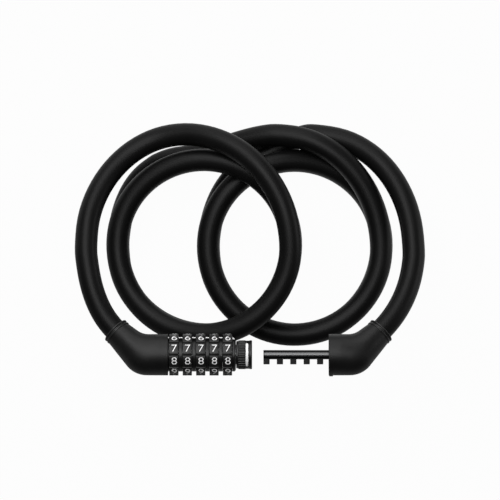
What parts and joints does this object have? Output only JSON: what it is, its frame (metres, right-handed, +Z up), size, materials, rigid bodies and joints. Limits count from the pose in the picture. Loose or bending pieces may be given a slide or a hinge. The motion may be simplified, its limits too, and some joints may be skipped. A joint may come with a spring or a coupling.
{
  "type": "cable lock",
  "caption": "Coiled vinyl-covered steel cable lock with an elbowed combination head, number dials and a toothed locking pin on an elbowed plug.",
  "frame": {"origin": "on the ground under the middle of the lock", "axes": "+Z up along the coils' axis, +X along the dials from the head to the plug, +Y from the dials towards the coils"},
  "size_m": [0.1972, 0.1425, 0.0697],
  "materials": {
    "cable_vinyl": "smooth soft vinyl with a satin shine",
    "cover_plastic": "moulded black plastic with a soft sheen",
    "dial_plastic": "moulded black plastic, white digits",
    "ring_plastic": "black plastic, white index mark or stripe",
    "collar_plastic": "smooth black plastic",
    "zinc_alloy": "die-cast zinc",
    "pin_steel": "dark plated steel",
    "spring_steel": "drawn spring steel",
    "ferrule_metal": "crimped metal sleeve",
    "core_steel": "stranded steel rope"
  },
  "bodies": {
    "lock_head": {"head_cover": "cover_plastic", "head_collar": "collar_plastic", "core_tube": "zinc_alloy", "spacer_1": "ring_plastic", "spacer_2": "ring_plastic", "spacer_3": "ring_plastic", "spacer_4": "ring_plastic", "end_collar": "ring_plastic", "detent_strip": "spring_steel", "clutch_spring": "spring_steel", "snap_ring": "spring_steel", "head_ferrule": "ferrule_metal", "head_core_end": "core_steel", "head_cable_pin": "pin_steel", "head_tube_pin": "pin_steel", "cable": "cable_vinyl", "cable_tail": "cable_vinyl"},
    "first_dial": {"dial_1": "dial_plastic", "gate_ring_1": "zinc_alloy"},
    "second_dial": {"dial_2": "dial_plastic", "gate_ring_2": "zinc_alloy"},
    "third_dial": {"dial_3": "dial_plastic", "gate_ring_3": "zinc_alloy"},
    "fourth_dial": {"dial_4": "dial_plastic", "gate_ring_4": "zinc_alloy"},
    "fifth_dial": {"dial_5": "dial_plastic", "gate_ring_5": "zinc_alloy"},
    "code_ring": {"set_ring": "ring_plastic"},
    "plug": {"plug_cover": "cover_plastic", "plug_collar": "collar_plastic", "plug_insert": "zinc_alloy", "locking_pin": "pin_steel", "plug_root_pin": "pin_steel", "plug_ferrule": "ferrule_metal", "plug_core_end": "core_steel", "plug_cable_pin": "pin_steel"}
  },
  "joints": [
    {"name": "dial_1_turn", "type": "hinge", "parent": "lock_head", "child": "first_dial", "pos_m": [-0.03, -0.0594, 0.05759], "axis": [1, 0, 0], "continuous": true},
    {"name": "dial_2_turn", "type": "hinge", "parent": "lock_head", "child": "second_dial", "pos_m": [-0.03, -0.0594, 0.05759], "axis": [1, 0, 0], "continuous": true},
    {"name": "dial_3_turn", "type": "hinge", "parent": "lock_head", "child": "third_dial", "pos_m": [-0.03, -0.0594, 0.05759], "axis": [1, 0, 0], "continuous": true},
    {"name": "dial_4_turn", "type": "hinge", "parent": "lock_head", "child": "fourth_dial", "pos_m": [-0.03, -0.0594, 0.05759], "axis": [1, 0, 0], "continuous": true},
    {"name": "dial_5_turn", "type": "hinge", "parent": "lock_head", "child": "fifth_dial", "pos_m": [-0.03, -0.0594, 0.05759], "axis": [1, 0, 0], "continuous": true},
    {"name": "set_ring_turn", "type": "hinge", "parent": "lock_head", "child": "code_ring", "pos_m": [-0.03, -0.0594, 0.05759], "axis": [1, 0, 0], "range_deg": [0, 90]},
    {"name": "plug_slide", "type": "slide", "parent": "lock_head", "child": "plug", "axis": [-1, 0, 0], "range_m": [0, 0.052], "deforming": ["cable_tail"]}
  ]
}
